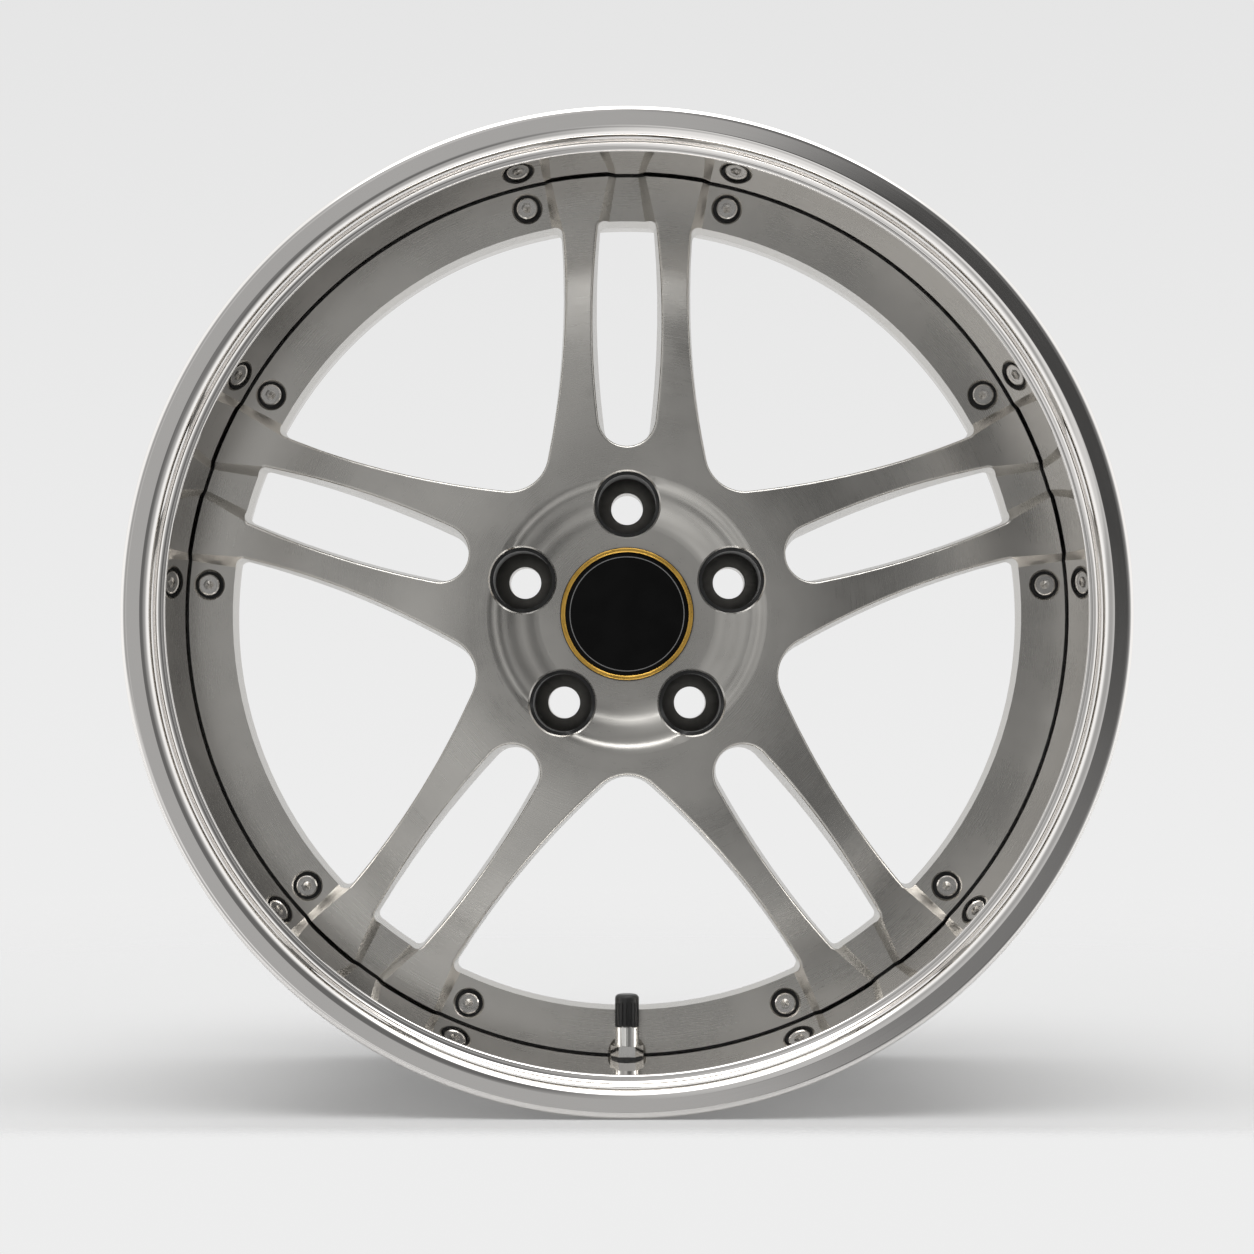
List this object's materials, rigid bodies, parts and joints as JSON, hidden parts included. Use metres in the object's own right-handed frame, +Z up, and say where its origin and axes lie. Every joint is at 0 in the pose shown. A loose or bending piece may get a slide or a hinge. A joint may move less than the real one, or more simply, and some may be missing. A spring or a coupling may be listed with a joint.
{
  "type": "car wheel",
  "caption": "Bolted multi-piece alloy car wheel with twin spokes, a deep polished stepped lip, lug pockets, centre cap and metal valve.",
  "frame": {"origin": "centre of the wheel, on its axis, midway between the outer faces of the two flanges", "axes": "the wheel turns about Y, its styled face looks along -Y, +Z is up and the valve is at the bottom"},
  "size_m": [0.5172, 0.268, 0.5172],
  "materials": {
    "polished_alloy": "polished bright",
    "satin_alloy": "brushed, clear coated",
    "barrel_alloy": "fine turned",
    "black_sealant": "matt compound",
    "bolt_steel": "bright zinc",
    "black_steel": "black oxide",
    "cap_plastic": "moulded black",
    "cap_gloss": "gloss black",
    "gold_trim": "bright gold tone",
    "valve_metal": "bright plated",
    "valve_brass": "plain turned brass",
    "valve_rubber": "moulded rubber"
  },
  "bodies": {
    "wheel": {"outer_lip": "polished_alloy", "inner_barrel": "barrel_alloy", "centre_disc": "satin_alloy", "edge_seal": "black_sealant", "air_seal": "black_sealant", "rim_bolts": "bolt_steel", "bolt_washers": "black_steel", "nut_washers": "bolt_steel", "rim_nuts": "bolt_steel", "lug_seats": "black_steel", "cap_body": "cap_plastic", "cap_ring": "gold_trim", "cap_face": "cap_gloss", "cap_spring_ring": "bolt_steel", "valve_stem": "valve_metal", "valve_grommet": "valve_rubber", "valve_washer": "valve_rubber", "valve_nut": "valve_metal", "valve_cap": "cap_plastic", "cap_seal": "valve_rubber", "valve_core": "valve_brass", "core_seal": "valve_rubber", "core_spring": "bolt_steel"},
    "valve_pin": {"core_pin": "valve_brass"}
  },
  "joints": [
    {"name": "valve_pin_press", "type": "slide", "parent": "wheel", "child": "valve_pin", "axis": [0, 0, -1], "range_m": [0, 0.001], "stiffness_N_per_m": 1500, "deforming": ["core_spring"]}
  ]
}
